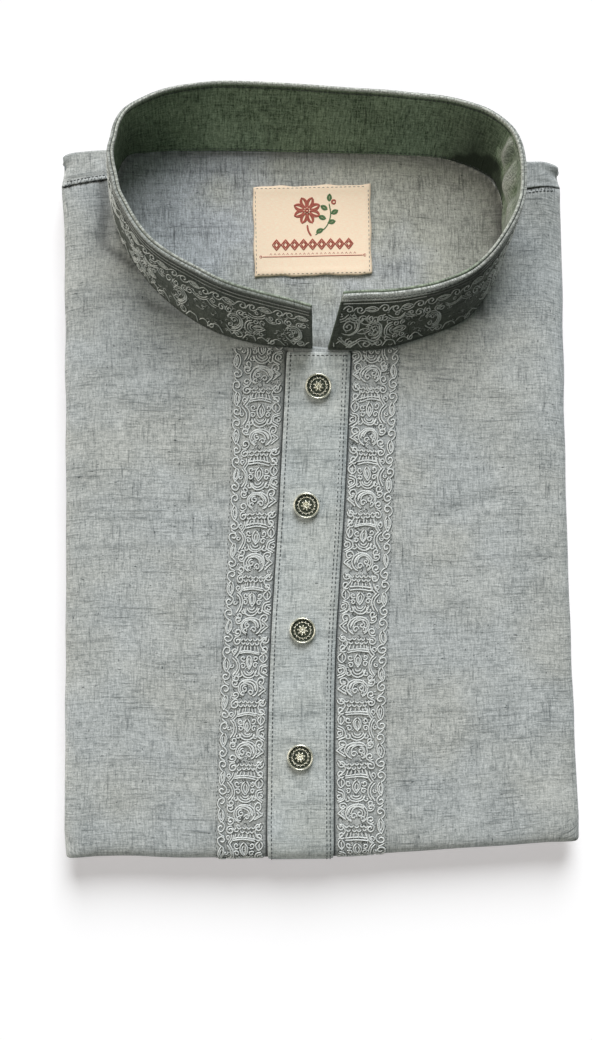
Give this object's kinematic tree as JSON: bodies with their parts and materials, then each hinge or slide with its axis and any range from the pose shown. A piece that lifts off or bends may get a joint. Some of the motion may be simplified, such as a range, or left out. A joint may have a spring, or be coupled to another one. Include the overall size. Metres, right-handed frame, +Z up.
{
  "type": "folded kurta tunic",
  "caption": "Kurta tunic folded flat for display, front up: standing band collar open at the front, embroidered front, buttoned box placket and plain neck label",
  "frame": {"origin": "on the surface it rests on, below the middle of the whole part's footprint", "axes": "+Y runs from the tail fold to the neck, +Z is up out of the front, +X is to the right of someone who looks down at the front with the neck at the top"},
  "size_m": [0.248, 0.3663, 0.0523],
  "materials": {
    "body_cloth": "grey chambray with uneven slub threads both ways, matt",
    "collar_cloth": "the same chambray, fused stiff, its outer ply embroidered",
    "label_cloth": "cream damask tape with a plain woven border",
    "button_metal": "antique silvered brass with a rolled rim and a dark engraved flower"
  },
  "bodies": {
    "root": {"folded_layers": "body_cloth", "back_panel": "body_cloth", "front_panel": "body_cloth", "placket": "body_cloth", "collar_outer": "collar_cloth", "collar_inner": "collar_cloth", "neck_label": "label_cloth", "button_1": "button_metal", "button_2": "button_metal", "button_3": "button_metal", "button_4": "button_metal"}
  },
  "joints": []
}
